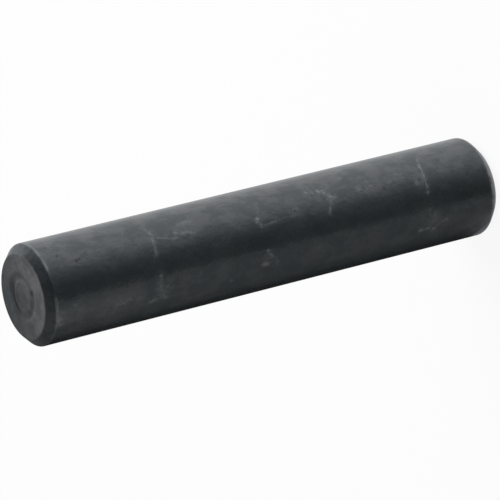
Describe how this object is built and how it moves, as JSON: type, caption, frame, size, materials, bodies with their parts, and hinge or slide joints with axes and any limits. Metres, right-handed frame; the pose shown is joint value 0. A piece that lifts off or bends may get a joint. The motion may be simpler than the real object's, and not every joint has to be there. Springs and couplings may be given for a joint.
{
  "type": "piston pin",
  "caption": "Solid cylindrical steel piston pin with a black oxide finish, a 45 degree chamfer at each end and a shallow ring groove in one end face.",
  "frame": {"origin": "centre of the plain lower end face, on which the pin stands", "axes": "+Z along the pin's axis, towards the end face with the ring groove; the pin is the same all round, so +X and +Y are free"},
  "size_m": [0.012, 0.012, 0.062],
  "materials": {
    "black_oxide_steel": "ground steel, black oxide finish, semi-gloss, lightly scuffed"
  },
  "bodies": {
    "root": {"piston_pin": "black_oxide_steel"}
  },
  "joints": []
}
